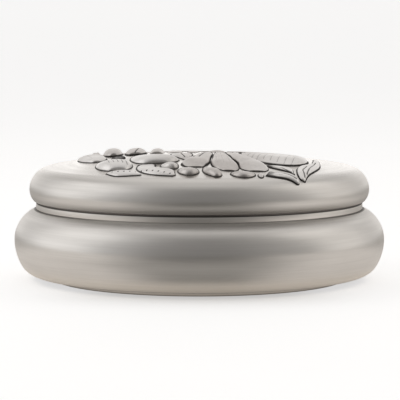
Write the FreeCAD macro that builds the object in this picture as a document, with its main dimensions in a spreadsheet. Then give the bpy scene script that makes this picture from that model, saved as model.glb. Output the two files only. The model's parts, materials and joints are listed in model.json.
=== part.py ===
import FreeCAD, Part
import math
import os
import re

import Sketcher

# A round silver box with a lift-off lid, in millimetres. The origin lies under the centre of the
# foot ring, +Z points up and -Y faces the viewer.

document = FreeCAD.newDocument("silver_box")
sheet = document.addObject("Spreadsheet::Sheet", "Sizes")

# Driving dimensions, one named cell each.
driving_sizes = {
    # Base bowl: widest line, wall and the three arcs of its side
    "bowl_diameter": 180.0,
    "bowl_equator_rise": 17.1,
    "bowl_heel_radius": 9.7,
    "bowl_flank_turn_share": 0.507,
    "bowl_shoulder_radius": 16.0,
    "bowl_wall": 1.2,
    # Foot ring under the floor
    "foot_height": 2.4,
    "foot_inset": 6.9,
    "foot_thickness": 1.8,
    "foot_edge_radius": 0.5,
    # Neck band on the bowl's mouth, and the bezel inside it
    "neck_inset": 10.6,
    "neck_thickness": 1.5,
    "neck_height": 2.9,
    "bezel_thickness": 1.0,
    "bezel_rise": 4.0,
    "bezel_tuck": 1.0,
    # Rim strip inside the lid, which stands on the neck band
    "rim_clearance": 0.35,
    "rim_thickness": 0.8,
    "rim_height": 4.2,
    # Lid shell: lip, swelling side, shoulder and crown
    "lip_gap": 0.9,
    "lip_width": 1.4,
    "lid_swell": 2.15,
    "lid_under_radius": 7.8,
    "lid_shoulder_radius": 11.1,
    "lid_crown_radius": 463.0,
    "lid_wall": 1.2,
    # Relief on the crown: its tallest form, the gap between neighbours, and how deep its forms
    # start under the surface
    "relief_height": 4.0,
    "relief_gap": 0.4,
    "relief_root": 1.2,
}

for row, (alias, value) in enumerate(driving_sizes.items(), start=1):
    sheet.set(f"A{row}", alias)
    sheet.set(f"B{row}", str(value))
    sheet.setAlias(f"B{row}", alias)
document.recompute()


def expression(words):
    """Turn a sum of cell names into an expression on the sheet."""
    return re.sub("[a-z_]+", lambda word: f"Sizes.{word[0]}" if word[0] in driving_sizes else word[0], words)


def size(words):
    """Work out a sum of cell names."""
    return float(sheet.evalExpression(expression(words)))


def half_chord(radius, offset):
    """The sum for how far a circle reaches at an offset from its centre."""
    return f"sqrt(({radius}) ^ 2 - ({offset}) ^ 2)"


# Radii and heights of the base, as sums of cell names
bowl_radius = "bowl_diameter / 2"
bowl_equator = "foot_height + bowl_equator_rise"
flank_radius = "(bowl_heel_radius + (bowl_equator_rise - bowl_heel_radius) / bowl_flank_turn_share)"
flank_cosine = half_chord("1", "bowl_flank_turn_share")
heel_centre = f"{bowl_radius} - {flank_radius} + ({flank_radius} - bowl_heel_radius) * {flank_cosine}"
heel_centre_height = "foot_height + bowl_heel_radius"
neck_radius = f"{bowl_radius} - neck_inset"
mouth_radius = f"{neck_radius} - neck_thickness"
mouth_height = f"{bowl_equator} + " + half_chord(
    "bowl_shoulder_radius", "bowl_shoulder_radius - neck_inset")
mouth_underside = f"{bowl_equator} + " + half_chord(
    "bowl_shoulder_radius - bowl_wall", "bowl_shoulder_radius - neck_inset - neck_thickness")
neck_top = f"{mouth_height} + neck_height"
foot_outer = f"{heel_centre} - foot_inset"
foot_inner = f"{foot_outer} - foot_thickness"

# Radii and heights of the lid, which stands on the neck band
rim_inner = f"{mouth_radius} + rim_clearance"
rim_outer = f"{rim_inner} + rim_thickness"
lip_radius = f"{rim_outer} + lip_width"
lip_height = f"{neck_top} + lip_gap"
lid_radius = f"{lip_radius} + lid_swell"
lid_equator = f"{lip_height} + " + half_chord("lid_under_radius", "lid_under_radius - lid_swell")
lip_underside = f"{lid_equator} - " + half_chord(
    "lid_under_radius - lid_wall", "lid_under_radius - lid_swell - lip_width")
shoulder_centre = f"({lid_radius} - lid_shoulder_radius)"
crown_drop = half_chord("lid_crown_radius - lid_shoulder_radius", shoulder_centre)
crown_centre = f"{lid_equator} - {crown_drop}"


def heel_joint(wall):
    """Where the bowl's flank arc meets its heel arc, a wall's thickness in from the outside."""
    heel = f"(bowl_heel_radius - {wall})"
    return (f"{heel_centre} + {heel} * {flank_cosine}",
            f"{heel_centre_height} - {heel} * bowl_flank_turn_share")


def crown_joint(wall):
    """Where the lid's shoulder arc meets the crown's sphere, a wall's thickness in."""
    stretch = f"(lid_crown_radius - {wall}) / (lid_crown_radius - lid_shoulder_radius)"
    return f"{shoulder_centre} * {stretch}", f"{crown_centre} + {crown_drop} * {stretch}"


def end_at(sketch, edge, point):
    """Which end of a sketch's edge lies at a point: 1 for its start, 2 for its finish."""
    start = sketch.getPoint(edge, 1)
    finish = sketch.getPoint(edge, 2)
    return 1 if start.distanceToPoint(point) < finish.distanceToPoint(point) else 2


def pin(sketch, edge, end, words, axis, kind):
    """Hold one end of an edge at a distance from an axis of the sketch, or on it."""
    if words == "0":
        sketch.addConstraint(Sketcher.Constraint("PointOnObject", edge, end, axis))
        return
    held = sketch.addConstraint(Sketcher.Constraint(kind, -1, 1, edge, end, size(words)))
    sketch.setExpression(f"Constraints[{held}]", expression(words))


def arc_between(start, finish, radius, side):
    """The short arc between two points; side is 1 when its centre is to the left of the run."""
    run = finish - start
    across = FreeCAD.Vector(-run.y, run.x, 0).normalize() * side
    middle = (start + finish) / 2
    centre = middle + across * math.sqrt(radius ** 2 - (run.Length / 2) ** 2)
    return Part.Arc(start, centre - across * radius, finish)


def profile_sketch(body, corners):
    """A closed sketch on the body's XZ plane. A corner is its radius, its height and the edge that
    leaves it: None for a line, or an arc's radius and the side of the run that its centre is on."""
    sketch = body.newObject("Sketcher::SketchObject", body.Label + "_profile")
    plane = next(datum for datum in body.Origin.OriginFeatures if datum.Role == "XZ_Plane")
    sketch.AttachmentSupport = (plane, "")
    sketch.MapMode = "FlatFace"
    points = [FreeCAD.Vector(size(across), size(up), 0) for across, up, _ in corners]
    for index, (_, _, arc) in enumerate(corners):
        start, finish = points[index], points[(index + 1) % len(points)]
        if arc is None:
            sketch.addGeometry(Part.LineSegment(start, finish))
        else:
            sketch.addGeometry(arc_between(start, finish, size(arc[0]), arc[1]))
    for index, (across, up, arc) in enumerate(corners):
        before = (index - 1) % len(corners)
        end = end_at(sketch, index, points[index])
        joined = end_at(sketch, before, points[index])
        sketch.addConstraint(Sketcher.Constraint("Coincident", before, joined, index, end))
        pin(sketch, index, end, across, -2, "DistanceX")
        pin(sketch, index, end, up, -1, "DistanceY")
        if arc is not None:
            held = sketch.addConstraint(Sketcher.Constraint("Radius", index, size(arc[0])))
            sketch.setExpression(f"Constraints[{held}]", expression(arc[0]))
    return sketch


def turned_piece(label, corners):
    """A body turned from a profile about the box's axis."""
    body = document.addObject("PartDesign::Body", label)
    sketch = profile_sketch(body, corners)
    turned = body.newObject("PartDesign::Revolution", label + "_turned")
    turned.Profile = sketch
    turned.ReferenceAxis = (sketch, ["V_Axis"])
    turned.Angle = 360
    sketch.Visibility = False
    return body


LEFT, RIGHT = 1, -1


def make_base_bowl():
    """The spun vessel: flat floor, heel, flank and shoulder arcs, and a flat annular mouth."""
    inner_floor = "foot_height + bowl_wall"
    inner_equator = f"{bowl_radius} - bowl_wall"
    return turned_piece("base_bowl", [
        ("0", "foot_height", None),
        (heel_centre, "foot_height", ("bowl_heel_radius", LEFT)),
        (*heel_joint("0"), (flank_radius, LEFT)),
        (bowl_radius, bowl_equator, ("bowl_shoulder_radius", LEFT)),
        (neck_radius, mouth_height, None),
        (mouth_radius, mouth_height, None),
        (mouth_radius, mouth_underside, ("bowl_shoulder_radius - bowl_wall", RIGHT)),
        (inner_equator, bowl_equator, (f"{flank_radius} - bowl_wall", RIGHT)),
        (*heel_joint("bowl_wall"), ("bowl_heel_radius - bowl_wall", RIGHT)),
        (heel_centre, inner_floor, None),
        ("0", inner_floor, None),
    ])


def make_foot_ring():
    """The low ring under the floor, with its outer lower edge rounded."""
    return turned_piece("foot_ring", [
        (foot_inner, "0", None),
        (f"{foot_outer} - foot_edge_radius", "0", ("foot_edge_radius", LEFT)),
        (foot_outer, "foot_edge_radius", None),
        (foot_outer, "foot_height", None),
        (foot_inner, "foot_height", None),
    ])


def make_neck_band():
    """The straight band that stands on the bowl's mouth."""
    return turned_piece("neck_band", [
        (mouth_radius, mouth_height, None),
        (neck_radius, mouth_height, None),
        (neck_radius, neck_top, None),
        (mouth_radius, neck_top, None),
    ])


def make_inner_bezel():
    """The thin ring that lines the mouth and stands up into the lid."""
    inner = f"{mouth_radius} - bezel_thickness"
    low = f"{mouth_height} - bezel_tuck"
    high = f"{neck_top} + bezel_rise"
    return turned_piece("inner_bezel", [
        (inner, low, None),
        (mouth_radius, low, None),
        (mouth_radius, high, None),
        (inner, high, None),
    ])


def make_lid_shell():
    """The swelling lid: narrow lip, under arc, shoulder arc and a shallow spherical crown."""
    return turned_piece("lid_shell", [
        (rim_outer, lip_height, None),
        (lip_radius, lip_height, ("lid_under_radius", LEFT)),
        (lid_radius, lid_equator, ("lid_shoulder_radius", LEFT)),
        (*crown_joint("0"), ("lid_crown_radius", LEFT)),
        ("0", f"{crown_centre} + lid_crown_radius", None),
        ("0", f"{crown_centre} + lid_crown_radius - lid_wall", ("lid_crown_radius - lid_wall", RIGHT)),
        (*crown_joint("lid_wall"), ("lid_shoulder_radius - lid_wall", RIGHT)),
        (f"{lid_radius} - lid_wall", lid_equator, ("lid_under_radius - lid_wall", RIGHT)),
        (rim_outer, lip_underside, None),
    ])


def make_lid_rim():
    """The strip inside the lip that stands on the neck band, clear of the bezel."""
    high = f"{neck_top} + rim_height"
    return turned_piece("lid_rim", [
        (rim_inner, neck_top, None),
        (rim_outer, neck_top, None),
        (rim_outer, high, None),
        (rim_inner, high, None),
    ])


def make_relief_ground():
    """The lid's outside as a full solid, which trims the foot of every relief piece."""
    return turned_piece("relief_ground", [
        ("0", lip_height, None),
        (lip_radius, lip_height, ("lid_under_radius", LEFT)),
        (lid_radius, lid_equator, ("lid_shoulder_radius", LEFT)),
        (*crown_joint("0"), ("lid_crown_radius", LEFT)),
        ("0", f"{crown_centre} + lid_crown_radius", None),
    ])


# Relief forms that run along a spine. A row is a station across the form: the place of its left
# edge and of its right edge, each to the right and to the back of the lid's middle, as shares of
# the lid's radius, and its height, as a share of the relief's. Neighbours share their edges.
petal_shares = {
    "front_petal": [
        (0.087, 0.170, 0.139, 0.170, 0.10), (0.085, 0.000, 0.157, 0.000, 0.28),
        (0.077, -0.180, 0.173, -0.180, 0.50), (0.070, -0.360, 0.191, -0.360, 0.70),
        (0.065, -0.530, 0.220, -0.550, 0.78), (0.091, -0.625, 0.225, -0.648, 0.72),
        (0.130, -0.692, 0.206, -0.697, 0.52)],
    "right_petal": [
        (0.151, 0.165, 0.206, 0.157, 0.10), (0.157, 0.000, 0.232, -0.030, 0.28),
        (0.173, -0.180, 0.260, -0.180, 0.50), (0.191, -0.350, 0.309, -0.350, 0.68),
        (0.220, -0.530, 0.362, -0.490, 0.76), (0.232, -0.630, 0.393, -0.592, 0.70),
        (0.276, -0.682, 0.372, -0.668, 0.52)],
    "left_petal": [
        (0.025, 0.165, 0.075, 0.165, 0.10), (0.004, 0.060, 0.082, 0.060, 0.18),
        (-0.015, -0.060, 0.083, -0.060, 0.32), (-0.024, -0.170, 0.077, -0.180, 0.45),
        (-0.044, -0.290, 0.070, -0.290, 0.58), (-0.079, -0.400, 0.066, -0.400, 0.66),
        (-0.104, -0.480, 0.062, -0.470, 0.66), (-0.097, -0.560, 0.048, -0.540, 0.60),
        (-0.062, -0.598, 0.026, -0.595, 0.44)],
    "broad_petal": [
        (0.225, 0.175, 0.340, 0.215, 0.12), (0.232, 0.080, 0.470, 0.170, 0.25),
        (0.242, -0.030, 0.560, 0.085, 0.40), (0.266, -0.165, 0.625, -0.050, 0.60),
        (0.303, -0.295, 0.637, -0.185, 0.80), (0.340, -0.388, 0.612, -0.318, 0.80),
        (0.388, -0.425, 0.560, -0.402, 0.68), (0.425, -0.442, 0.515, -0.432, 0.48)],
    "back_petal": [
        (0.076, 0.321, 0.130, 0.321, 0.10), (0.015, 0.436, 0.157, 0.436, 0.11),
        (-0.012, 0.557, 0.182, 0.557, 0.14), (-0.030, 0.660, 0.191, 0.660, 0.20),
        (-0.012, 0.745, 0.163, 0.745, 0.26), (0.036, 0.793, 0.109, 0.793, 0.18)],
    "back_left_petal": [
        (0.030, 0.266, 0.054, 0.303, 0.10), (-0.085, 0.327, 0.000, 0.412, 0.12),
        (-0.206, 0.393, -0.036, 0.521, 0.15), (-0.285, 0.496, -0.079, 0.611, 0.19),
        (-0.272, 0.599, -0.127, 0.660, 0.22), (-0.200, 0.654, -0.169, 0.669, 0.16)],
    "back_right_petal": [
        (0.157, 0.315, 0.191, 0.285, 0.10), (0.179, 0.424, 0.291, 0.327, 0.12),
        (0.206, 0.545, 0.400, 0.418, 0.15), (0.236, 0.642, 0.460, 0.521, 0.19),
        (0.291, 0.696, 0.442, 0.624, 0.22), (0.339, 0.708, 0.387, 0.690, 0.16)],
}
leaf_shares = {
    "throat_leaf": [
        (-0.145, 0.050, -0.035, 0.060, 0.12), (-0.180, -0.060, -0.030, -0.060, 0.28),
        (-0.155, -0.170, -0.036, -0.170, 0.40), (-0.112, -0.280, -0.056, -0.280, 0.38),
        (-0.088, -0.350, -0.070, -0.352, 0.22)],
    "curled_leaf": [
        (0.664, -0.020, 0.698, -0.020, 0.22), (0.660, -0.120, 0.703, -0.120, 0.32),
        (0.652, -0.230, 0.702, -0.230, 0.40), (0.628, -0.340, 0.698, -0.350, 0.46),
        (0.572, -0.440, 0.682, -0.460, 0.50), (0.548, -0.545, 0.655, -0.558, 0.52),
        (0.546, -0.640, 0.625, -0.652, 0.48), (0.549, -0.705, 0.606, -0.713, 0.42),
        (0.560, -0.752, 0.594, -0.757, 0.30)],
    "slim_leaf": [
        (0.385, -0.460, 0.396, -0.548, 0.15), (0.462, -0.468, 0.440, -0.592, 0.26),
        (0.514, -0.510, 0.484, -0.628, 0.30), (0.530, -0.595, 0.514, -0.668, 0.27),
        (0.536, -0.680, 0.530, -0.708, 0.20)],
    "lower_leaf": [
        (0.400, -0.650, 0.368, -0.800, 0.20), (0.460, -0.675, 0.430, -0.808, 0.32),
        (0.508, -0.708, 0.490, -0.800, 0.38), (0.543, -0.748, 0.527, -0.803, 0.38),
        (0.558, -0.785, 0.548, -0.800, 0.30)],
    "scalloped_leaf_left": [
        (-0.522, -0.665, -0.524, -0.690, 0.12), (-0.508, -0.645, -0.512, -0.708, 0.20),
        (-0.466, -0.633, -0.478, -0.762, 0.38), (-0.418, -0.637, -0.424, -0.787, 0.42),
        (-0.375, -0.666, -0.366, -0.788, 0.38), (-0.340, -0.722, -0.322, -0.784, 0.18)],
    "scalloped_leaf_right": [
        (-0.361, -0.484, -0.248, -0.472, 0.12), (-0.363, -0.581, -0.240, -0.569, 0.30),
        (-0.341, -0.690, -0.208, -0.644, 0.45), (-0.291, -0.767, -0.157, -0.673, 0.48),
        (-0.212, -0.818, -0.133, -0.732, 0.42), (-0.151, -0.839, -0.128, -0.809, 0.25)],
    "rear_leaf": [
        (0.206, 0.823, 0.208, 0.768, 0.12), (0.315, 0.811, 0.309, 0.745, 0.25),
        (0.436, 0.745, 0.412, 0.708, 0.25), (0.520, 0.660, 0.490, 0.640, 0.15)],
    "inner_leaf_left": [
        (-0.194, 0.115, -0.100, 0.120, 0.12), (-0.200, 0.185, -0.092, 0.185, 0.25),
        (-0.190, 0.260, -0.092, 0.250, 0.27), (-0.150, 0.320, -0.100, 0.300, 0.15)],
    "inner_leaf_right": [
        (-0.078, 0.100, -0.005, 0.110, 0.10), (-0.080, 0.175, 0.008, 0.175, 0.16),
        (-0.070, 0.245, 0.005, 0.235, 0.16), (-0.040, 0.285, -0.005, 0.270, 0.10)],
    "back_leaf_left": [
        (-0.712, 0.200, -0.670, 0.200, 0.15), (-0.736, 0.300, -0.662, 0.300, 0.30),
        (-0.706, 0.430, -0.632, 0.410, 0.35), (-0.622, 0.545, -0.553, 0.500, 0.30),
        (-0.548, 0.617, -0.518, 0.593, 0.15)],
    "hollow_leaf": [
        (-0.500, 0.055, -0.450, 0.055, 0.08), (-0.520, -0.010, -0.430, -0.010, 0.14),
        (-0.522, -0.090, -0.424, -0.090, 0.16), (-0.514, -0.160, -0.428, -0.160, 0.13),
        (-0.492, -0.192, -0.448, -0.192, 0.08)],
    "far_leaf": [
        (-0.636, 0.185, -0.600, 0.180, 0.35), (-0.648, 0.245, -0.592, 0.240, 0.68),
        (-0.640, 0.315, -0.592, 0.315, 0.70), (-0.618, 0.378, -0.588, 0.378, 0.35)],
    "back_leaf": [
        (-0.490, 0.448, -0.406, 0.375, 0.15), (-0.515, 0.533, -0.375, 0.484, 0.30),
        (-0.460, 0.642, -0.321, 0.581, 0.35), (-0.363, 0.732, -0.248, 0.666, 0.30),
        (-0.260, 0.787, -0.224, 0.757, 0.15)],
}
bud_shares = {
    "smooth_pod": [
        (-0.339, 0.036, -0.230, 0.036, 0.08), (-0.393, -0.060, -0.200, -0.073, 0.22),
        (-0.409, -0.182, -0.165, -0.182, 0.44), (-0.400, -0.303, -0.121, -0.303, 0.72),
        (-0.369, -0.400, -0.115, -0.387, 0.88), (-0.315, -0.450, -0.169, -0.448, 0.40)],
    "ribbed_pod": [
        (-0.527, -0.212, -0.430, -0.212, 0.08), (-0.587, -0.291, -0.412, -0.291, 0.30),
        (-0.600, -0.400, -0.387, -0.400, 0.68), (-0.582, -0.508, -0.375, -0.508, 1.00),
        (-0.552, -0.567, -0.382, -0.570, 0.84), (-0.515, -0.605, -0.405, -0.608, 0.40)],
    "far_bud": [
        (-0.690, 0.150, -0.622, 0.142, 0.40), (-0.722, 0.060, -0.562, 0.052, 0.62),
        (-0.712, -0.048, -0.538, -0.055, 0.64), (-0.680, -0.140, -0.542, -0.146, 0.54),
        (-0.630, -0.208, -0.568, -0.211, 0.26)],
    "small_bud": [
        (-0.200, -0.470, -0.128, -0.450, 0.08), (-0.225, -0.520, -0.114, -0.510, 0.30),
        (-0.220, -0.587, -0.113, -0.575, 0.60), (-0.188, -0.636, -0.119, -0.630, 0.68),
        (-0.157, -0.650, -0.132, -0.649, 0.34)],
    "front_bud_left": [
        (-0.090, -0.616, -0.035, -0.616, 0.08), (-0.122, -0.662, -0.003, -0.662, 0.24),
        (-0.126, -0.728, 0.004, -0.728, 0.52), (-0.108, -0.787, -0.004, -0.787, 0.70),
        (-0.078, -0.817, -0.030, -0.817, 0.34)],
    "front_bud_middle": [
        (0.012, -0.616, 0.048, -0.614, 0.08), (0.012, -0.668, 0.086, -0.664, 0.28),
        (0.016, -0.737, 0.114, -0.731, 0.58), (0.042, -0.808, 0.130, -0.802, 0.74),
        (0.080, -0.856, 0.116, -0.855, 0.34)],
    "bract_bud": [
        (0.205, -0.712, 0.275, -0.708, 0.08), (0.172, -0.746, 0.312, -0.741, 0.26),
        (0.168, -0.790, 0.320, -0.785, 0.48), (0.188, -0.831, 0.304, -0.827, 0.58),
        (0.224, -0.856, 0.272, -0.854, 0.32)],
    "inner_bud_left": [
        (-0.295, 0.085, -0.212, 0.095, 0.30), (-0.298, 0.165, -0.207, 0.165, 0.56),
        (-0.292, 0.255, -0.205, 0.255, 0.54), (-0.262, 0.335, -0.220, 0.335, 0.25)],
    "left_back_bud": [
        (-0.537, 0.085, -0.480, 0.085, 0.45), (-0.570, 0.157, -0.456, 0.157, 0.85),
        (-0.580, 0.254, -0.454, 0.254, 0.95), (-0.566, 0.345, -0.462, 0.345, 0.80),
        (-0.530, 0.406, -0.492, 0.406, 0.35)],
    "back_pod": [
        (-0.428, 0.060, -0.330, 0.073, 0.40), (-0.446, 0.145, -0.312, 0.145, 0.74),
        (-0.442, 0.242, -0.314, 0.242, 0.74), (-0.410, 0.327, -0.345, 0.327, 0.34)],
}
# A section's curves: the height of its middle line and of the handle that draws its crest up, as
# shares of its height, and the length of the handles, as a share of the corner that they round.
petal_curve_shares = (0.96, 1.04, 0.74)
leaf_curve_shares = (0.70, 1.14, 0.66)
bud_curve_shares = (1.0, 1.0, 0.66)

# Round forms: place, half length along their heading and half width, as shares of the lid's
# radius, height as a share of the relief's, and heading in turns from the right-hand side.
round_shares = {
    "blossom_heart": (0.106, 0.240, 0.058, 0.056, 0.24, 0.25),
    "front_berry": (0.343, -0.790, 0.052, 0.018, 0.35, 0.25),
}
# How far the middle of a round form lies under the surface, as a share of its own half height.
round_sink_share = 0.3


def on_lid(across_share, back_share):
    """The point on the lid's outside over a place in plan, and the direction out of it."""
    across, back = across_share * size(lid_radius), back_share * size(lid_radius)
    reach = math.hypot(across, back)
    joint, _ = crown_joint("0")
    if reach < size(joint):
        centre = FreeCAD.Vector(0, 0, size(crown_centre))
        radius = size("lid_crown_radius")
    else:
        centre_reach = size(shoulder_centre) / reach
        centre = FreeCAD.Vector(across * centre_reach, back * centre_reach, size(lid_equator))
        radius = size("lid_shoulder_radius")
    flat = math.hypot(across - centre.x, back - centre.y)
    point = FreeCAD.Vector(across, back, centre.z + math.sqrt(radius ** 2 - flat ** 2))
    return point, (point - centre).normalize()


def section_wire(left_shares, right_shares, height_share, curve_shares):
    """A section of a relief form that stands on the lid between two edges: a flat root under the
    surface, and two curves that rise steeply from the edges and meet over the middle."""
    left_edge, _ = on_lid(*left_shares)
    right_edge, _ = on_lid(*right_shares)
    foot, out = on_lid(*((left + right) / 2 for left, right in zip(left_shares, right_shares)))
    span = right_edge - left_edge
    side = (span - out * span.dot(out)).normalize()
    half_width = (span.Length - size("relief_gap")) / 2
    root = size("relief_root")
    height = height_share * size("relief_height")
    middle_share, crest_share, handle_share = curve_shares

    def at(width_share, up):
        return foot + side * (half_width * width_share) + out * up

    rise = handle_share * (height + root) - root
    crest = height * crest_share
    middle = at(0, height * middle_share)
    halves = [[at(-1, -root), at(-1, rise), at(-handle_share, crest), middle],
              [middle, at(handle_share, crest), at(1, rise), at(1, -root)]]
    edges = []
    for poles in halves:
        curve = Part.BezierCurve()
        curve.setPoles(poles)
        edges.append(curve.toShape())
    edges.append(Part.LineSegment(at(1, -root), at(-1, -root)).toShape())
    return Part.Wire(edges)


def trimmed(label, form, ground):
    """A relief piece: its form with everything under the lid's surface cut away."""
    piece = document.addObject("Part::Cut", label)
    piece.Base = form
    piece.Tool = ground
    return piece


def make_spine_piece(label, station_shares, curve_shares, ground):
    """A petal, leaf or bud lofted through sections that stand on the lid along its spine."""
    sections = []
    for left_across, left_back, right_across, right_back, height_share in station_shares:
        section = document.addObject("Part::Feature", f"{label}_section")
        section.Shape = section_wire((left_across, left_back), (right_across, right_back),
                                     height_share, curve_shares)
        sections.append(section)
    loft = document.addObject("Part::Loft", f"{label}_form")
    loft.Sections = sections
    loft.Solid = True
    loft.Ruled = False
    return trimmed(label, loft, ground)


def make_round_piece(label, round_place_shares, ground):
    """A pod, heart or berry: an ellipsoid sunk into the lid and turned to its heading."""
    across, back, length_share, width_share, height_share, heading_share = round_place_shares
    point, out = on_lid(across, back)
    half_height = f"relief_height * {height_share} / (1 - {round_sink_share})"
    form = document.addObject("Part::Ellipsoid", f"{label}_form")
    form.setExpression("Radius1", expression(half_height))
    form.setExpression("Radius2", expression(f"({lid_radius}) * {length_share}"))
    form.setExpression("Radius3", expression(f"({lid_radius}) * {width_share}"))
    upright = FreeCAD.Rotation(FreeCAD.Vector(0, 0, 1), out)
    heading = FreeCAD.Rotation(FreeCAD.Vector(0, 0, 1), 360 * heading_share)
    middle = point - out * (size(half_height) * round_sink_share)
    form.Placement = FreeCAD.Placement(middle, upright.multiply(heading))
    return trimmed(label, form, ground)


pieces = [make_base_bowl(), make_foot_ring(), make_neck_band(), make_inner_bezel(),
          make_lid_shell(), make_lid_rim()]
relief_ground = make_relief_ground()
for family_shares, curve_shares in ((petal_shares, petal_curve_shares),
                                    (leaf_shares, leaf_curve_shares),
                                    (bud_shares, bud_curve_shares)):
    for name, station_shares in family_shares.items():
        pieces.append(make_spine_piece(name, station_shares, curve_shares, relief_ground))
for name, round_place_shares in round_shares.items():
    pieces.append(make_round_piece(name, round_place_shares, relief_ground))

document.recompute()

for item in document.Objects:
    if "Invalid" in item.State or "Error" in item.State:
        raise RuntimeError(f"{item.Label} failed to recompute: {item.State}")
for piece in pieces:
    if piece.Shape.isNull() or not piece.Shape.isValid() or len(piece.Shape.Solids) != 1:
        raise RuntimeError(f"{piece.Label} is not one valid solid")

os.makedirs("parts", exist_ok=True)
for piece in pieces:
    piece.Shape.exportStep(f"parts/{piece.Label}.step")
    print(f"{piece.Label}: {piece.Shape.Volume:.1f} cubic millimetres")
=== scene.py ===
import json
import math

import bmesh
import bpy
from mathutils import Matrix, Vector


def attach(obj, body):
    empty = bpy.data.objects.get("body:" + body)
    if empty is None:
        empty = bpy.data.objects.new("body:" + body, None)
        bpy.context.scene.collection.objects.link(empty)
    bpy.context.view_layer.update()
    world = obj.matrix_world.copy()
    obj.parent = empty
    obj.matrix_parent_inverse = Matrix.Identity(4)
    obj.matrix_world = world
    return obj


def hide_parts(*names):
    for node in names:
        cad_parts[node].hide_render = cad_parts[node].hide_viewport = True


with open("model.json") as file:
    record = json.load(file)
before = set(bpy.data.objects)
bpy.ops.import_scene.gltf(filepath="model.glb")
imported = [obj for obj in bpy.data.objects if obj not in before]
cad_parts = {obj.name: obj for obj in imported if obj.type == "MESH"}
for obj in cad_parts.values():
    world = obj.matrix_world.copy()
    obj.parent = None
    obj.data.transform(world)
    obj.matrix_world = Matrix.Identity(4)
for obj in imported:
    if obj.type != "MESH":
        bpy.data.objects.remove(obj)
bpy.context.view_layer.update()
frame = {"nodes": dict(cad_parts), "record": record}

# A round box of satin silver with a lift-off lid and a flower spray in high relief. Sizes are
# written in millimetres and become metres where a piece is made.
MM = 0.001
scene = bpy.context.scene
scene.view_settings.view_transform = "Standard"


class Wire:
    """A node's output, with the sums that the trees below are written in."""

    def __init__(self, tree, socket):
        self.tree = tree
        self.socket = socket

    def out(self, name):
        return Wire(self.tree, self.socket.node.outputs[name])

    def __add__(self, other):
        return self.tree.maths("ADD", self, other)

    def __radd__(self, other):
        return self.tree.maths("ADD", other, self)

    def __sub__(self, other):
        return self.tree.maths("SUBTRACT", self, other)

    def __rsub__(self, other):
        return self.tree.maths("SUBTRACT", other, self)

    def __mul__(self, other):
        return self.tree.maths("MULTIPLY", self, other)

    def __rmul__(self, other):
        return self.tree.maths("MULTIPLY", other, self)

    def __truediv__(self, other):
        return self.tree.maths("DIVIDE", self, other)

    def __abs__(self):
        return self.tree.maths("ABSOLUTE", self)

    def root(self):
        return self.tree.maths("SQRT", self)

    def at_least(self, other):
        return self.tree.maths("MAXIMUM", self, other)

    def fade(self, start, finish, low=0.0, high=1.0):
        """A smooth step from low at start to high at finish."""
        return self.tree.node("ShaderNodeMapRange", {"interpolation_type": "SMOOTHSTEP"},
                              {0: self, 1: start, 2: finish, 3: low, 4: high})


class Tree:
    """A node tree, with one way of adding a node to it."""

    def __init__(self, tree):
        self.tree = tree

    def node(self, kind, settings=None, values=None, output=0):
        made = self.tree.nodes.new(kind)
        for name, setting in (settings or {}).items():
            setattr(made, name, setting)
        for key, value in (values or {}).items():
            if isinstance(value, Wire):
                self.tree.links.new(value.socket, made.inputs[key])
            else:
                made.inputs[key].default_value = value
        return Wire(self, made.outputs[output]) if made.outputs else made

    def maths(self, operation, *values):
        return self.node("ShaderNodeMath", {"operation": operation}, dict(enumerate(values)))

    def split(self, vector):
        parts = self.node("ShaderNodeSeparateXYZ", values={0: vector})
        return parts.out("X"), parts.out("Y"), parts.out("Z")

    def join(self, x, y, z):
        return self.node("ShaderNodeCombineXYZ", values={0: x, 1: y, 2: z})


# Materials

def new_finish(name):
    """A new material and its empty tree."""
    material = bpy.data.materials.new(name)
    material.use_nodes = True
    material.node_tree.nodes.clear()
    return material, Tree(material.node_tree)


def finish_metal(tree, colour, roughness, metallic, normal, anisotropic):
    """The metal shader at the end of a finish."""
    shader = tree.node("ShaderNodeBsdfPrincipled",
                       values={"Base Color": colour, "Roughness": roughness, "Metallic": metallic,
                               "Normal": normal, "Anisotropic": anisotropic})
    tree.node("ShaderNodeOutputMaterial", values={"Surface": shader})


def blend_colours(tree, factor, first, second):
    """The first colour where the factor is nothing, the second where it is one."""
    mixed = tree.node("ShaderNodeMix", {"data_type": "RGBA"}, {0: factor, 6: first, 7: second})
    return mixed.out(2)


def brushing(tree, place, fine, swing, detail):
    """Noise drawn out round the box's axis: fine across the brushing, slow along it."""
    x, y, z = tree.split(place)
    reach = (x * x + y * y).root()
    return tree.node("ShaderNodeTexNoise", {"noise_dimensions": "4D"},
                     {"Vector": tree.join(reach * fine, z * fine, x / reach * swing),
                      "W": y / reach * swing, "Scale": 1.0, "Detail": detail, "Roughness": 0.6})


def between(value, start, finish, edge):
    """One between two limits and nothing outside them, with soft edges."""
    return value.fade(start - edge, start) * value.fade(finish, finish + edge, 1.0, 0.0)


# Levels up the box, in metres: the foot's end, the neck band's foot and top, the lid's lip and crown
foot_end, neck_foot, neck_head, lip_level, crown_level = 0.0024, 0.0346, 0.0374, 0.0383, 0.0515
# Near-black for dark lines where parts meet and for painted shade
dark_line_and_shade_colour = (0.05, 0.042, 0.037, 1.0)
# Silver for the painted light on the bowl's shoulder below the neck
painted_light_silver = (0.97, 0.94, 0.905, 1.0)


def brushed_ground(tree, place, roughness):
    """Brushing round the box with a breath of tarnish: the tarnish, the height and the roughness."""
    hairlines = brushing(tree, place, 2600.0, 2.4, 3.0)
    rings = brushing(tree, place, 330.0, 1.3, 4.0)
    clouds = tree.node("ShaderNodeTexNoise", values={"Vector": place, "Scale": 28.0, "Detail": 5.0})
    tarnish = 0.7 * (0.55 * rings + 0.35 * clouds + 0.35 * hairlines).fade(0.42, 0.86)
    height = hairlines + 0.6 * rings
    rough = roughness - 0.05 + 0.12 * rings + 0.05 * hairlines
    return tarnish, height, rough


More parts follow.
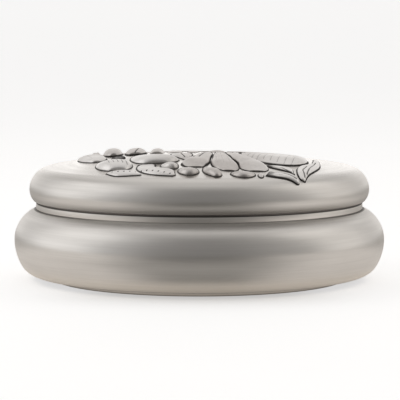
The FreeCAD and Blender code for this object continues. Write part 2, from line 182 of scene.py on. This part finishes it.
def finish_satin(tree, clean, dark_lines_and_shade, height, rough, metallic):
    """The end of a satin finish: dark lines and painted shade over the clean silver, and the brushing as a
    fine bump.
    """
    colour = blend_colours(tree, dark_lines_and_shade, clean, dark_line_and_shade_colour)
    normal = tree.node("ShaderNodeBump", values={"Strength": 0.25, "Distance": 0.00002, "Height": height})
    finish_metal(tree, colour, rough, metallic, normal, 0.7)


def make_shell_silver(name, bright, dull, roughness):
    """The spun bowl and lid: a dark line under the neck, made darker towards the sides as painted
    shade, a darker band above the foot, painted shade on the lid above its lip, painted light on
    the metal below the neck, and a smoother crown with painted shade round the relief."""
    material, tree = new_finish(name)
    place = tree.node("ShaderNodeTexCoord", output="Object")
    x, y, z = tree.split(place)
    tarnish, height, rough = brushed_ground(tree, place, roughness)
    under_neck = between(z, neck_foot - 0.0003, neck_foot + 0.0004, 0.0003)
    # A dark line where the band meets the bowl, with painted shade making it darker towards the left and
    # right sides
    neck_line_and_shade = 0.6 * (under_neck * (0.25 + abs(x).fade(0.035, 0.065)))
    # A darker band where the heel meets the foot
    over_foot = z.fade(foot_end - 0.0003, foot_end - 0.0001)
    foot_dark_line = 0.8 * (over_foot * z.fade(foot_end + 0.0002, foot_end + 0.0007, 1.0, 0.0))
    # Painted shade on the lid's lower side, darkest just above the lip
    lip_painted_shade = 0.28 * between(z, lip_level, lip_level + 0.0012, 0.0032)
    dark_lines_and_shade = neck_line_and_shade.at_least(foot_dark_line).at_least(lip_painted_shade)
    crown = z.fade(crown_level, crown_level + 0.0035)
    # Painted shade on the crown round the relief, where the forms hide the light; the same mask also makes
    # the crown there rougher
    across, back = x / 0.058, (y + 0.040) / 0.044
    spray_painted_shade = crown * (across * across + back * back).fade(0.6, 1.2, 1.0, 0.0)
    # Painted shade: the lid's lower side dulled round the lip
    lip_painted_dimming = between(z, lip_level - 0.0003, lip_level + 0.0007, 0.004)
    # Painted light: the bowl's shoulder just below the neck is painted paler
    neck_painted_light = between(z, neck_foot - 0.0031, neck_foot - 0.0001, 0.0015)
    lit = blend_colours(tree, neck_painted_light, (*bright, 1.0), painted_light_silver)
    clean = blend_colours(tree, tarnish.at_least(lip_painted_dimming).at_least(spray_painted_shade), lit, (*dull, 1.0))
    matt = 0.1 * spray_painted_shade + 0.12 * between(z, neck_foot - 0.0021, neck_foot + 0.0004, 0.003)
    metallic = 1.0 - 0.35 * between(z, neck_foot - 0.0019, neck_foot, 0.0012)
    finish_satin(tree, clean, dark_lines_and_shade, height, rough - 0.16 * crown + matt, metallic)
    return material


def make_band_silver(name, bright, dull, roughness):
    """A drawn strip: a slanting scarf seam at the front, painted shade along its top under the lid's
    lip, and a dark line along its foot.
    """
    material, tree = new_finish(name)
    place = tree.node("ShaderNodeTexCoord", output="Object")
    x, y, z = tree.split(place)
    reach = (x * x + y * y).root()
    tarnish, height, rough = brushed_ground(tree, place, roughness)
    off_seam = abs(x - 0.0052 - (z - neck_foot - 0.0013) * 1.1)
    seam = off_seam.fade(0.00012, 0.00045, 1.0, 0.0) * (0.0 - y).fade(0.0, 0.001)
    # Painted shade along the band's top and the lid rim's outer face, in the gap under the lid's lip
    top_painted_shade = 0.85 * (z.fade(neck_head - 0.0004, neck_head) * reach.fade(0.0783, 0.0787))
    foot_dark_line = 0.3 * z.fade(neck_foot, neck_foot + 0.0003, 1.0, 0.0)
    clean = blend_colours(tree, tarnish.at_least(seam * 0.8), (*bright, 1.0), (*dull, 1.0))
    finish_satin(tree, clean, top_painted_shade.at_least(foot_dark_line), height - 3.0 * seam, rough, 1.0)
    return material


def make_relief_silver(name):
    """Cast silver: polished on the crests and painted lighter on the outer forms as painted light,
    oxidised brown-black in lines, and darkened along the foot by oxide and painted shadow and on
    steep walls by painted shade.
    """
    material, tree = new_finish(name)
    place = tree.node("ShaderNodeTexCoord", output="Object")
    patina = tree.node("ShaderNodeAttribute", {"attribute_name": "patina"}, output="Fac")
    pits = tree.node("ShaderNodeTexNoise", values={"Vector": place, "Scale": 900.0, "Detail": 3.0})
    clouds = tree.node("ShaderNodeTexNoise", values={"Vector": place, "Scale": 120.0, "Detail": 4.0})
    x, y, _ = tree.split(place)
    mottle = (0.6 * clouds + 0.4 * pits).fade(0.35, 0.75)
    # A shaded and a lit copy of the relief's silver: painted light makes the forms away from the middle,
    # and more so at the front, lighter
    shaded_relief_tone = blend_colours(tree, mottle, (0.74, 0.70, 0.67, 1.0), (0.62, 0.585, 0.56, 1.0))
    lit_relief_tone = blend_colours(tree, mottle, (0.97, 0.945, 0.925, 1.0), (0.88, 0.855, 0.83, 1.0))
    outward = abs(x - 0.008).fade(0.008, 0.032) * y.fade(-0.012, 0.004, 1.0, 0.3)
    bare = blend_colours(tree, outward, shaded_relief_tone, lit_relief_tone)
    depth = (patina + 0.25 * (clouds - 0.5)).fade(0.12, 0.85)
    colour = blend_colours(tree, depth, bare, (0.045, 0.038, 0.034, 1.0))
    rough = 0.42 + 0.10 * clouds + 0.25 * depth
    normal = tree.node("ShaderNodeBump", values={"Strength": 0.3, "Distance": 0.00004, "Height": pits})
    finish_metal(tree, colour, rough, 1.0 - 0.5 * depth, normal, 0.0)
    return material


def make_floor_finish(name):
    """A pale, faintly mottled studio floor that glows as painted light. The silver mirrors it warm
    close to the foot and at the sides as painted light and dark towards the viewer as painted
    shade, and the camera sees it light with a painted soft shadow round the box."""
    material, tree = new_finish(name)
    place = tree.node("ShaderNodeTexCoord", output="Object")
    seen = tree.node("ShaderNodeLightPath", output="Is Camera Ray")
    mottle = tree.node("ShaderNodeTexNoise", values={"Vector": place, "Scale": 6.0, "Detail": 3.0})
    card = blend_colours(tree, mottle, (0.60, 0.59, 0.57, 1.0), (0.64, 0.63, 0.61, 1.0))
    x, y, _ = tree.split(place)
    reach = (x * x + y * y).root()
    aside = abs(x) / reach
    # Painted light: the warm glow round the foot and at the sides that the silver mirrors
    under = reach.fade(0.0705, 0.0735) * reach.fade(0.086, 0.096, 1.0, 0.0)
    sector = (aside - reach.fade(0.092, 0.125, 0.0, 0.24)).fade(0.12, 0.60)
    stretch = reach.fade(0.074, 0.085) * reach.fade(0.5, 1.0, 1.0, 0.0)
    beside = sector * stretch * y.fade(0.0, 0.12, 1.0, 0.0)
    # Painted shade: the floor that the silver mirrors is dark towards the viewer
    front = (0.0 - y).fade(0.11, 0.22) * (1.0 - beside)
    mirrored = blend_colours(tree, front, card, (0.24, 0.235, 0.225, 1.0))
    shown = blend_colours(tree, seen, mirrored, card)
    side_glow = blend_colours(tree, beside, (0.0, 0.0, 0.0, 1.0), (0.36, 0.34, 0.325, 1.0))
    mirrored_glow = blend_colours(tree, 0.8 * under, side_glow, (0.38, 0.345, 0.305, 1.0))
    # Painted shadow round the box, seen by the camera
    shade = reach.fade(0.070, 0.128, 1.0, 0.0) * aside.fade(0.45, 0.85, 1.0, 0.1)
    open_glow = blend_colours(tree, shade, (0.63, 0.63, 0.635, 1.0), (0.50, 0.495, 0.49, 1.0))
    glow = blend_colours(tree, seen, mirrored_glow, open_glow)
    shader = tree.node("ShaderNodeBsdfPrincipled",
                       values={"Base Color": shown, "Roughness": 0.8, "Specular IOR Level": 0.2,
                               "Emission Color": glow, "Emission Strength": 1.0})
    tree.node("ShaderNodeOutputMaterial", values={"Surface": shader})
    return material


satin_silver = make_shell_silver("satin_silver", (0.83, 0.80, 0.765), (0.70, 0.67, 0.635), 0.32)
band_silver = make_band_silver("band_silver", (0.86, 0.825, 0.785), (0.70, 0.665, 0.625), 0.32)
relief_silver = make_relief_silver("relief_silver")


# Geometry node trees

def new_shaping(name, inputs):
    """A geometry tree with named inputs, and the wires of those inputs."""
    tree = bpy.data.node_groups.new(name, "GeometryNodeTree")
    tree.interface.new_socket("Geometry", in_out="INPUT", socket_type="NodeSocketGeometry")
    for label, kind in inputs.items():
        tree.interface.new_socket(label, in_out="INPUT", socket_type=kind)
    tree.interface.new_socket("Geometry", in_out="OUTPUT", socket_type="NodeSocketGeometry")
    shaping = Tree(tree)
    entry = shaping.node("NodeGroupInput")
    return shaping, {label: entry.out(label) for label in ("Geometry", *inputs)}


def end_shaping(shaping, geometry, material):
    """Close a tree: real geometry, smooth, in one material."""
    real = shaping.node("GeometryNodeRealizeInstances", values={0: geometry})
    smooth = shaping.node("GeometryNodeSetShadeSmooth", values={0: real})
    painted = shaping.node("GeometryNodeSetMaterial", values={"Geometry": smooth, "Material": material})
    shaping.node("NodeGroupOutput", values={0: painted})
    return shaping.tree


def make_turning_tree():
    """Turns a profile about the box's axis: a grid whose rows are the profile's points."""
    shaping, given = new_shaping("turning", {
        "Profile": "NodeSocketObject", "Points": "NodeSocketInt", "Turns": "NodeSocketInt",
        "Material": "NodeSocketMaterial"})
    profile = shaping.node("GeometryNodeObjectInfo", values={"Object": given["Profile"]}, output="Geometry")
    grid = shaping.node("GeometryNodeMeshGrid",
                        values={"Vertices X": given["Turns"] + 1.0, "Vertices Y": given["Points"]})
    index = shaping.node("GeometryNodeInputIndex")
    column = shaping.maths("FLOOR", (index + 0.5) / given["Points"])
    row = index - column * given["Points"]
    place = shaping.node("GeometryNodeInputPosition")
    point = shaping.node("GeometryNodeSampleIndex", {"data_type": "FLOAT_VECTOR"},
                         {"Geometry": profile, "Value": place, "Index": row})
    reach, _, height = shaping.split(point)
    angle = column / given["Turns"] * math.tau
    turned = shaping.node("GeometryNodeSetPosition", values={
        "Geometry": grid,
        "Position": shaping.join(reach * shaping.maths("COSINE", angle),
                                 reach * shaping.maths("SINE", angle), height)})
    sewn = shaping.node("GeometryNodeMergeByDistance", values={"Geometry": turned, "Distance": 0.000001})
    return end_shaping(shaping, sewn, given["Material"])


def make_chasing_tree():
    """Works a relief piece over: chased lines sunk by their distance in plan, a cast skin, a foot
    that reaches into the lid, a tip that bows down, and how dark each point is, kept on the points:
    oxide in the lines, oxide and painted shadow at the foot, and painted shade on steep walls."""
    shaping, given = new_shaping("chasing", {
        "Strokes": "NodeSocketObject", "Lid": "NodeSocketObject", "Width": "NodeSocketFloat",
        "Depth": "NodeSocketFloat", "Tint": "NodeSocketFloat", "Skin": "NodeSocketFloat",
        "Climb": "NodeSocketFloat", "Root climb": "NodeSocketFloat", "Tip climb": "NodeSocketFloat",
        "Tip": "NodeSocketFloat", "Droop": "NodeSocketFloat", "Material": "NodeSocketMaterial"})
    drawn = shaping.node("GeometryNodeObjectInfo", values={"Object": given["Strokes"]}, output="Geometry")
    strokes = shaping.node("GeometryNodeCurveToMesh", values={"Curve": drawn})
    lid = shaping.node("GeometryNodeObjectInfo", values={"Object": given["Lid"]}, output="Geometry")
    place = shaping.node("GeometryNodeInputPosition")
    x, y, _ = shaping.split(place)
    near = shaping.node("GeometryNodeProximity", {"target_element": "EDGES"},
                        {0: strokes, "Sample Position": shaping.join(x, y, 0.0)})
    # A piece without lines has no nearest one, and counts as a metre away
    reach = near.out("Distance") + 1.0 - near.out("Is Valid")
    drawn_line = reach.fade(0.0, given["Width"], 1.0, 0.0)
    normal = shaping.node("GeometryNodeInputNormal")
    _, _, facing = shaping.split(normal)
    above = shaping.node("GeometryNodeProximity", {"target_element": "FACES"},
                         {0: lid, "Sample Position": place}, output="Distance")
    groove = drawn_line * facing.fade(0.1, 0.5)
    skin = shaping.node("ShaderNodeTexNoise", values={"Vector": place, "Scale": 420.0, "Detail": 2.0})
    sink = groove * given["Depth"] + (skin - 0.5) * given["Skin"]
    drop = facing.fade(-0.9, -0.4, 0.0005, 0.0)
    sag = above * given["Droop"] * (y - given["Tip"]).fade(0.0005, 0.011, 1.0, 0.0)
    worked = shaping.node("GeometryNodeSetPosition", values={
        "Geometry": given["Geometry"],
        "Offset": shaping.node("ShaderNodeVectorMath", {"operation": "SCALE"},
                               {0: normal, "Scale": 0.0 - sink})})
    footed = shaping.node("GeometryNodeSetPosition", values={
        "Geometry": worked, "Offset": shaping.join(0.0, 0.0, 0.0 - drop - sag)})
    # The dark foot is oxide in the recess and painted shadow under the form, with its own height near the
    # tips and the roots
    side_climb = y.fade(-0.049, -0.043, given["Tip climb"], given["Climb"])
    climb = y.fade(-0.020, 0.002, side_climb, given["Root climb"])
    foot = above.fade(0.25 * climb, climb, 1.0, 0.0)
    # Painted shade on steep and overhanging walls
    painted_wall_shade = facing.fade(0.05, 0.5, 0.3, 0.0)
    patina = (groove * given["Tint"]).at_least(foot).at_least(painted_wall_shade)
    kept = shaping.node("GeometryNodeStoreNamedAttribute", {"data_type": "FLOAT", "domain": "POINT"},
                        {"Geometry": footed, "Name": "patina", "Value": patina})
    return end_shaping(shaping, kept, given["Material"])


def make_foot_line_tree():
    """A thin dark bead along the outline on which a relief piece stands: oxidised solder, made
    thicker towards the front as painted shadow.
    """
    shaping, given = new_shaping("foot_line", {
        "Lid": "NodeSocketObject", "Half width": "NodeSocketFloat", "Step": "NodeSocketFloat",
        "Tint": "NodeSocketFloat", "Material": "NodeSocketMaterial"})
    lid = shaping.node("GeometryNodeObjectInfo", values={"Object": given["Lid"]}, output="Geometry")
    place = shaping.node("GeometryNodeInputPosition")
    nearest = shaping.node("GeometryNodeProximity", {"target_element": "FACES"},
                           {0: lid, "Sample Position": place})
    _, _, facing = shaping.split(shaping.node("GeometryNodeInputNormal"))
    faces_down = facing.fade(-0.6, -0.5, 1.0, 0.0)
    touches_lid = nearest.out("Distance").fade(0.00015, 0.00025, 1.0, 0.0)
    under = shaping.node("GeometryNodeSeparateGeometry", {"domain": "FACE"},
                         {"Geometry": given["Geometry"], "Selection": faces_down * touches_lid - 0.5})
    # An edge with a single face lies on the outline
    faces = shaping.node("GeometryNodeInputMeshEdgeNeighbors")
    outline = shaping.node("GeometryNodeMeshToCurve",
                           values={"Mesh": under, "Selection": 2.0 - faces - 0.5})
    even = shaping.node("GeometryNodeResampleCurve", {"mode": "LENGTH"},
                        {"Curve": outline, "Length": given["Step"]})
    settled = shaping.node("GeometryNodeSetPosition",
                           values={"Geometry": even, "Position": nearest.out("Position")})
    _, back, _ = shaping.split(place)
    spread = shaping.node("GeometryNodeAttributeStatistic", {"data_type": "FLOAT", "domain": "POINT"},
                          {"Geometry": settled, "Attribute": back})
    share = (back - spread.out("Min")) / spread.out("Range")
    # Painted shadow: the bead is thickest along the front of the outline and thins to the back
    tapered = shaping.node("GeometryNodeSetCurveRadius",
                           values={"Curve": settled, "Radius": share.fade(0.15, 0.85, 1.0, 0.4)})
    ring = shaping.node("GeometryNodeCurvePrimitiveCircle",
                        values={"Resolution": 6, "Radius": given["Half width"]})
    bead = shaping.node("GeometryNodeCurveToMesh", values={"Curve": tapered, "Profile Curve": ring})
    kept = shaping.node("GeometryNodeStoreNamedAttribute", {"data_type": "FLOAT", "domain": "POINT"},
                        {"Geometry": bead, "Name": "patina", "Value": given["Tint"]})
    return end_shaping(shaping, kept, given["Material"])


turning_tree = make_turning_tree()
chasing_tree = make_chasing_tree()
foot_line_tree = make_foot_line_tree()


def add_object(name, data):
    """A new object at the origin, linked to the scene."""
    piece = bpy.data.objects.new(name, data)
    scene.collection.objects.link(piece)
    return piece


def set_inputs(modifier, values):
    """Set a geometry tree's named inputs by their sockets' identifiers."""
    for item in modifier.node_group.interface.items_tree:
        if item.in_out == "INPUT" and item.name in values:
            modifier[item.identifier] = values[item.name]


def made_mesh(carrier, name):
    """Turn a carrier with modifiers into a plain piece, and take the carrier away."""
    graph = bpy.context.evaluated_depsgraph_get()
    mesh = bpy.data.meshes.new_from_object(carrier.evaluated_get(graph), preserve_all_data_layers=True,
                                           depsgraph=graph)
    mesh.name = name
    bpy.data.objects.remove(carrier)
    return add_object(name, mesh)


def poly_curve(name, lines):
    """A curve object of straight-sided lines, from points in metres."""
    curve = bpy.data.curves.new(name, "CURVE")
    curve.dimensions = "3D"
    for points in lines:
        spline = curve.splines.new("POLY")
        spline.points.add(len(points) - 1)
        for knot, point in zip(spline.points, points):
            knot.co = (*point, 1.0)
    return add_object(name, curve)


# Sizes of the turned pieces, in millimetres, as in the solids
foot_height, foot_inner, foot_outer = 2.4, 69.58, 71.38
bowl_radius, bowl_equator, bowl_wall = 90.0, 19.5, 1.2
heel_radius, heel_centre, heel_level = 9.7, 78.28, 12.1
flank_radius, flank_turn = 24.296, 30.465
shoulder_radius, neck_radius, mouth_radius, mouth_height = 16.0, 79.4, 77.9, 34.56
neck_top, bezel_inner, bezel_low, bezel_top = 37.46, 76.9, 33.56, 41.46
rim_inner, rim_outer, rim_top = 78.25, 79.05, 41.66
lip_height, lip_radius, lid_radius, lid_equator, lid_wall = 38.36, 80.45, 82.6, 43.737, 1.2
under_radius, lid_shoulder, crown_radius = 7.8, 11.1, 463.0


def arc(across, up, radius, start, finish, steps):
    """Points of an arc from one angle to another, in degrees from the outward side."""
    turns = [math.radians(start + (finish - start) * step / steps) for step in range(steps + 1)]
    return [(across + radius * math.cos(turn), up + radius * math.sin(turn)) for turn in turns]


def softened(corners, radius, steps=3):
    """A closed run of corners with each one rounded."""
    points = []
    for index, corner in enumerate(corners):
        before, after = Vector(corners[index - 1]), Vector(corners[(index + 1) % len(corners)])
        corner = Vector(corner)
        start = corner + (before - corner).normalized() * radius
        finish = corner + (after - corner).normalized() * radius
        for step in range(steps + 1):
            share = step / steps
            points.append(tuple(start * (1 - share) ** 2 + corner * 2 * share * (1 - share)
                                + finish * share ** 2))
    return points


def bowl_profile():
    """The bowl's wall, from the floor's middle up its outside and down its inside."""
    reach = math.degrees(math.acos((neck_radius - bowl_radius + shoulder_radius) / shoulder_radius))
    inner = shoulder_radius - bowl_wall
    inner_reach = math.degrees(math.acos((mouth_radius - bowl_radius + shoulder_radius) / inner))
    flank_centre = bowl_radius - flank_radius
    shoulder_centre = bowl_radius - shoulder_radius
    return ([(0.0, foot_height)]
            + arc(heel_centre, heel_level, heel_radius, -90.0, -flank_turn, 16)
            + arc(flank_centre, bowl_equator, flank_radius, -flank_turn, 0.0, 12)[1:]
            + arc(shoulder_centre, bowl_equator, shoulder_radius, 0.0, reach, 22)[1:]
            + [(mouth_radius, mouth_height)]
            + arc(shoulder_centre, bowl_equator, inner, inner_reach, 0.0, 22)
            + arc(flank_centre, bowl_equator, flank_radius - bowl_wall, 0.0, -flank_turn, 12)[1:]
            + arc(heel_centre, heel_level, heel_radius - bowl_wall, -flank_turn, -90.0, 16)[1:]
            + [(0.0, foot_height + bowl_wall)])


def lid_profile():
    """The lid's wall, from the lip over its outside and back along its inside."""
    shoulder_centre = lid_radius - lid_shoulder
    drop = math.sqrt((crown_radius - lid_shoulder) ** 2 - shoulder_centre ** 2)
    crown_centre = lid_equator - drop
    joint = math.degrees(math.atan2(drop, shoulder_centre))
    under_centre = lid_radius - under_radius
    tuck = -math.degrees(math.acos((lip_radius - under_centre) / under_radius))
    inner_tuck = -math.degrees(math.acos((rim_outer - under_centre) / (under_radius - lid_wall)))
    return ([(rim_outer, lip_height), (lip_radius - 0.25, lip_height)]
            + [(lip_radius - 0.05, lip_height + 0.04)]
            + arc(under_centre, lid_equator, under_radius, tuck + 1.5, 0.0, 14)
            + arc(shoulder_centre, lid_equator, lid_shoulder, 0.0, joint, 26)[1:]
            + arc(0.0, crown_centre, crown_radius, joint, 90.0, 36)[1:]
            + arc(0.0, crown_centre, crown_radius - lid_wall, 90.0, joint, 36)
            + arc(shoulder_centre, lid_equator, lid_shoulder - lid_wall, joint, 0.0, 26)[1:]
            + arc(under_centre, lid_equator, under_radius - lid_wall, 0.0, inner_tuck, 14)[1:]
            + [(rim_outer, lip_height)])


def ring_profile(inner, outer, low, high, edge):
    """A ring's section, with rounded corners."""
    corners = softened([(inner, low), (outer, low), (outer, high), (inner, high)], edge)
    return corners + corners[:1]


def turned_piece(name, profile, material, body, turns=288):
    """A ring, bowl or lid turned from its profile, in the place of the solid of that name."""
    line = poly_curve(name + "_profile", [[(across * MM, 0.0, up * MM) for across, up in profile]])
    carrier = add_object(name + "_carrier", bpy.data.meshes.new(name + "_carrier"))
    modifier = carrier.modifiers.new("turning", "NODES")
    modifier.node_group = turning_tree
    set_inputs(modifier, {"Profile": line, "Points": len(profile), "Turns": turns, "Material": material})
    piece = made_mesh(carrier, name + "_turned")
    bpy.data.objects.remove(line)
    shell = bmesh.new()
    shell.from_mesh(piece.data)
    bmesh.ops.recalc_face_normals(shell, faces=shell.faces)
    shell.to_mesh(piece.data)
    shell.free()
    piece.data.set_sharp_from_angle(angle=math.radians(40.0))
    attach(piece, body)
    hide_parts(name)
    return piece


turned_piece("base_bowl", bowl_profile(), satin_silver, "base")
turned_piece("foot_ring", ring_profile(foot_inner, foot_outer, 0.0, foot_height, 0.45), satin_silver,
             "base")
turned_piece("neck_band", ring_profile(mouth_radius, neck_radius, mouth_height, neck_top, 0.2),
             band_silver, "base")
turned_piece("inner_bezel", ring_profile(bezel_inner, mouth_radius, bezel_low, bezel_top, 0.3),
             band_silver, "base")
lid_piece = turned_piece("lid_shell", lid_profile(), satin_silver, "lid", 360)
turned_piece("lid_rim", ring_profile(rim_inner, rim_outer, neck_top, rim_top, 0.2), band_silver,
             "lid")


# Chased lines on the relief, in plan: to the right and to the back of the middle, in millimetres
def hatch(start, finish, count, run):
    """Equal strokes set along a line, each with the same run."""
    lines = []
    for step in range(count):
        share = step / (count - 1)
        across = start[0] + (finish[0] - start[0]) * share
        back = start[1] + (finish[1] - start[1]) * share
        lines.append([(across, back), (across + run[0], back + run[1])])
    return lines


chased_lines = {
    "ribbed_pod": hatch((-43.5, -37.0), (-35.0, -38.5), 5, (1.4, -8.5)),
    "broad_petal": hatch((21.0, -24.0), (43.0, -37.0), 8, (7.5, 38.0)),
    "front_petal": [[(9.0, 2.0), (7.7, -25.0), (8.4, -47.0)],
                    [(10.2, 2.0), (10.2, -25.0), (11.4, -50.0)],
                    [(11.2, 2.0), (12.4, -25.0), (14.4, -50.0)],
                    [(12.0, 2.0), (14.2, -28.0), (16.9, -47.0)]],
    "left_petal": [[(2.6, -5.0), (1.2, -22.0), (-0.2, -34.0)],
                   [(0.2, -5.0), (-1.4, -22.0), (-2.8, -34.0)]],
    "curled_leaf": [[(50.5, -40.0), (48.2, -50.0), (48.8, -61.0)],
                    [(55.6, -22.0), (54.2, -33.0), (51.6, -45.0), (49.8, -57.0)]],
    "slim_leaf": [[(33.0, -43.5), (38.5, -46.5), (43.0, -54.0)]],
    "lower_leaf": [[(31.5, -57.5), (38.0, -60.0), (44.8, -64.4)],
                   [(31.0, -62.3), (38.0, -63.6)]],
    "throat_leaf": [[(-9.0, -1.0), (-8.2, -13.0), (-6.8, -25.0)]],
    "scalloped_leaf_right": hatch((-27.0, -58.5), (-13.5, -67.5), 6, (0.2, 1.3)),
    "scalloped_leaf_left": hatch((-40.5, -57.3), (-29.5, -60.8), 5, (0.2, 1.3)),
    "bract_bud": hatch((15.0, -61.0), (15.5, -67.0), 3, (10.5, 0.8)),
    "far_bud": [[(-55.0, 8.0), (-54.0, -4.0), (-51.5, -14.0)]],
    "back_pod": [[(-31.5, 5.5), (-29.8, 14.0)]],
}
# How dark the chased lines are where they aren't black
line_tints = {"front_petal": 0.3, "broad_petal": 0.4, "ribbed_pod": 0.55, "far_bud": 0.35,
              "bract_bud": 0.7, "curled_leaf": 0.8}
# Width and depth of the chased lines, depth of the cast skin and grain of the meshes, in millimetres
line_width, line_depth, cast_skin = 0.55, 0.35, 0.08
fine_grain, usual_grain = 0.19, 0.3
# Half width in millimetres and darkness of the bead along a foot
strong_bead, faint_bead, usual_bead, bead_step = (0.32, 1.0), (0.12, 0.4), (0.26, 0.72), 0.6
# How far the dark foot climbs, in millimetres, where it isn't the usual height: oxide in the
# recess and painted shadow under the form, higher on the front forms and low at the back
usual_climb, back_climb, low_root_climb, low_tip_climb = 0.6, 0.15, 0.3, 0.45
foot_climbs = {"hollow_leaf": 0.9, "left_back_bud": 1.2, "back_pod": 1.2, "far_leaf": 1.6,
               "front_petal": 1.5, "right_petal": 1.5, "left_petal": 1.3, "broad_petal": 1.2,
               "curled_leaf": 0.9, "lower_leaf": 1.0, "slim_leaf": 0.9}
# How far the tips of the front petals bow down, as a share of their height
petal_droop = 0.65
drooping_petals = ("front_petal", "right_petal", "left_petal", "broad_petal")


def copied_solid(name, new_name):
    """A copy of a solid's mesh with its loose triangles sewn together."""
    shell = bmesh.new()
    shell.from_mesh(frame["nodes"][name].data)
    bmesh.ops.remove_doubles(shell, verts=shell.verts, dist=0.000002)
    mesh = bpy.data.meshes.new(new_name)
    shell.to_mesh(mesh)
    shell.free()
    return add_object(new_name, mesh)


def stands_at_back(piece):
    """Whether a relief form's middle lies behind the box's own."""
    return sum(point.co.y for point in piece.data.vertices) > 0.0


def chased_piece(name):
    """A relief form cast from its solid, chased and patinated."""
    carrier = copied_solid(name, name + "_carrier")
    climb = foot_climbs.get(name, back_climb if stands_at_back(carrier) else usual_climb)
    root_climb = low_root_climb if name.endswith(("_petal", "smooth_pod")) else climb
    tip_climb = low_tip_climb if name.endswith("_petal") else climb
    tip = min(point.co.y for point in carrier.data.vertices)
    lines = [[(across * MM, back * MM, 0.0) for across, back in line]
             for line in chased_lines.get(name, [])]
    strokes = poly_curve(name + "_strokes", lines)
    remesh = carrier.modifiers.new("even", "REMESH")
    remesh.mode = "VOXEL"
    remesh.voxel_size = (fine_grain if stands_at_back(carrier) else usual_grain) * MM
    smooth = carrier.modifiers.new("smooth", "SMOOTH")
    smooth.factor = 0.5
    smooth.iterations = 8
    modifier = carrier.modifiers.new("chasing", "NODES")
    modifier.node_group = chasing_tree
    set_inputs(modifier, {"Strokes": strokes, "Lid": lid_piece, "Width": line_width * MM,
                          "Depth": line_depth * MM, "Tint": line_tints.get(name, 1.0),
                          "Skin": cast_skin * MM, "Climb": climb * MM,
                          "Root climb": root_climb * MM, "Tip climb": tip_climb * MM, "Tip": tip,
                          "Droop": petal_droop if name in drooping_petals else 0.0,
                          "Material": relief_silver})
    piece = made_mesh(carrier, name + "_chased")
    bpy.data.objects.remove(strokes)
    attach(piece, "lid")
    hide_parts(name)
    return piece


def foot_line(name):
    """The dark bead along the foot of a relief form."""
    carrier = copied_solid(name, name + "_line_carrier")
    # The bead is strong on the front forms and faint on the back ones, as painted shadow
    if name in foot_climbs:
        half_width, tint = strong_bead
    elif stands_at_back(carrier):
        half_width, tint = faint_bead
    else:
        half_width, tint = usual_bead
    modifier = carrier.modifiers.new("foot line", "NODES")
    modifier.node_group = foot_line_tree
    set_inputs(modifier, {"Lid": lid_piece, "Half width": half_width * MM, "Step": bead_step * MM,
                          "Tint": tint, "Material": relief_silver})
    piece = made_mesh(carrier, name + "_foot_line")
    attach(piece, "lid")
    return piece


lid_pieces = frame["record"]["behaviour"]["bodies"]["lid"]
for name in [piece for piece in lid_pieces if piece not in ("lid_shell", "lid_rim")]:
    chased_piece(name)
    foot_line(name)


# Floor, light and camera
floor_mesh = bpy.data.meshes.new("floor")
floor_corners = [(-40.0, -40.0, 0.0), (40.0, -40.0, 0.0), (40.0, 40.0, 0.0), (-40.0, 40.0, 0.0)]
floor_mesh.from_pydata(floor_corners, [], [(0, 1, 2, 3)])
floor_mesh.materials.append(make_floor_finish("pale_floor"))
floor = add_object("floor", floor_mesh)


def add_panel(name, place, aim, width, height, radiance, colour=(1.0, 1.0, 1.0)):
    """A soft panel of even brightness, which the camera itself doesn't see."""
    light = bpy.data.lights.new(name, "AREA")
    light.shape = "RECTANGLE"
    light.size = width
    light.size_y = height
    light.energy = radiance * math.pi * width * height
    light.color = colour
    panel = add_object(name, light)
    panel.location = place
    panel.rotation_euler = (Vector(aim) - Vector(place)).to_track_quat("-Z", "Y").to_euler()
    panel.visible_camera = False
    return panel


add_panel("left_panel", (-0.95, 0.03, 0.58), (0.0, 0.03, 0.35), 1.0, 1.3, 0.87)
add_panel("right_panel", (0.95, 0.11, 0.58), (0.0, 0.11, 0.35), 0.85, 1.3, 0.70, (1.0, 0.97, 0.93))
add_panel("left_front_panel", (-0.72, -0.62, 0.50), (0.0, 0.0, 0.25), 0.4, 1.1, 0.26)
add_panel("right_front_panel", (0.72, -0.62, 0.50), (0.0, 0.0, 0.25), 0.4, 1.1, 0.18, (1.0, 0.97, 0.93))

# The room: dark towards the viewer, grey overhead, lighter behind and white along the horizon
studio = bpy.data.worlds.new("studio")
studio.use_nodes = True
studio.node_tree.nodes.clear()
sky = Tree(studio.node_tree)
_, behind, up = sky.split(sky.node("ShaderNodeTexCoord", output="Generated"))
# The ceiling is lightest a little behind the point overhead
ceiling_lean = math.radians(17.0)
overhead = math.cos(ceiling_lean) * up + math.sin(ceiling_lean) * behind
glow = (0.21 + 0.38 * overhead.fade(0.6, 1.0) + 0.32 * behind.fade(0.1, 0.9)
        + 0.70 * behind.fade(0.72, 0.92) * up.fade(0.18, 0.55, 1.0, 0.0))
seen = sky.node("ShaderNodeLightPath", output="Is Camera Ray")
room = sky.node("ShaderNodeBackground", values={"Color": (1.0, 0.985, 0.97, 1.0), "Strength": glow})
white = sky.node("ShaderNodeBackground", values={"Color": (1.0, 1.0, 1.0, 1.0), "Strength": 0.96})
mixed = sky.node("ShaderNodeMixShader", values={0: seen, 1: room, 2: white})
sky.node("ShaderNodeOutputWorld", values={"Surface": mixed})
scene.world = studio

lens = bpy.data.cameras.new("camera")
lens.sensor_width = 36.0
lens.lens = 211.4
lens.clip_end = 100.0
camera = add_object("camera", lens)
camera.location = (0.00034, -1.141, 0.1427)
aim = Vector((0.00034, 0.0, 0.038))
camera.rotation_euler = (aim - camera.location).to_track_quat("-Z", "Y").to_euler()
scene.camera = camera
